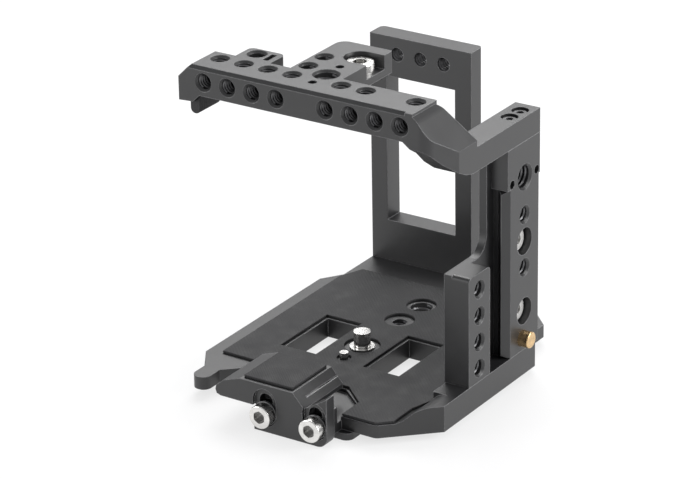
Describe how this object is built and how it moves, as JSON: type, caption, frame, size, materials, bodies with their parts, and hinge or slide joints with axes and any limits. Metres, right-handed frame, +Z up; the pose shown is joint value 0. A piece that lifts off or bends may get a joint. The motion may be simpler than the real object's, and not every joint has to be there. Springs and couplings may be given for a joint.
{
  "type": "camera cage",
  "caption": "Open metal cage round a box camera, with tapped holes, a side rail, a spring safety pin and a height-adjustable lens adapter support.",
  "frame": {"origin": "on the bottom face, straight under the large tapped hole in the top plate", "axes": "+X towards the side rail, -Y towards the lens, +Z up"},
  "size_m": [0.11, 0.1438, 0.1185],
  "materials": {
    "black_metal": "satin black anodised",
    "steel": "bright zinc plated",
    "brass": "satin",
    "rubber": "matt"
  },
  "bodies": {
    "cage": {"top_plate": "black_metal", "side_rail": "black_metal", "side_frame": "black_metal", "base_plate": "black_metal", "rear_guard": "black_metal", "arm_screws": "steel", "rail_screws": "steel", "frame_screws": "steel", "guard_screws": "steel", "safety_pin_spring": "steel", "locating_pin": "steel", "base_pad": "rubber", "top_pad": "rubber", "corner_bumper": "rubber"},
    "adapter_support": {"lens_support": "black_metal", "cradle_pad": "rubber"},
    "left_bolt": {"support_bolt_left": "steel", "support_washer_left": "steel"},
    "right_bolt": {"support_bolt_right": "steel", "support_washer_right": "steel"},
    "rail_pin": {"safety_pin": "brass"},
    "top_camera_screw": {"top_screw": "steel", "top_screw_clip": "steel"},
    "base_camera_screw": {"base_screw": "steel", "base_screw_clip": "steel"},
    "finger_ring": {"base_screw_ring": "steel"}
  },
  "joints": [
    {"name": "support_height", "type": "slide", "parent": "cage", "child": "adapter_support", "axis": [0, 0, 1], "range_m": [-0.0045, 0]},
    {"name": "left_bolt_turn", "type": "hinge", "parent": "cage", "child": "left_bolt", "pos_m": [-0.0002, -0.0418, 0.0069], "axis": [0, 1, 0], "continuous": true},
    {"name": "right_bolt_turn", "type": "hinge", "parent": "cage", "child": "right_bolt", "pos_m": [0.0203, -0.0418, 0.0069], "axis": [0, 1, 0], "continuous": true},
    {"name": "rail_pin_press", "type": "slide", "parent": "cage", "child": "rail_pin", "axis": [-1, 0, 0], "range_m": [0, 0.003], "stiffness_N_per_m": 400, "springref_m": -0.002, "deforming": ["safety_pin_spring"]},
    {"name": "top_screw_turn", "type": "hinge", "parent": "cage", "child": "top_camera_screw", "pos_m": [0.00075, 0.02, 0.11], "axis": [0, 0, 1], "continuous": true},
    {"name": "base_screw_turn", "type": "hinge", "parent": "cage", "child": "base_camera_screw", "pos_m": [0, 0.02, 0.005], "axis": [0, 0, 1], "continuous": true},
    {"name": "ring_fold", "type": "hinge", "parent": "base_camera_screw", "child": "finger_ring", "pos_m": [0, 0.0239, 0.0013], "axis": [1, 0, 0], "range_deg": [0, 110]}
  ]
}
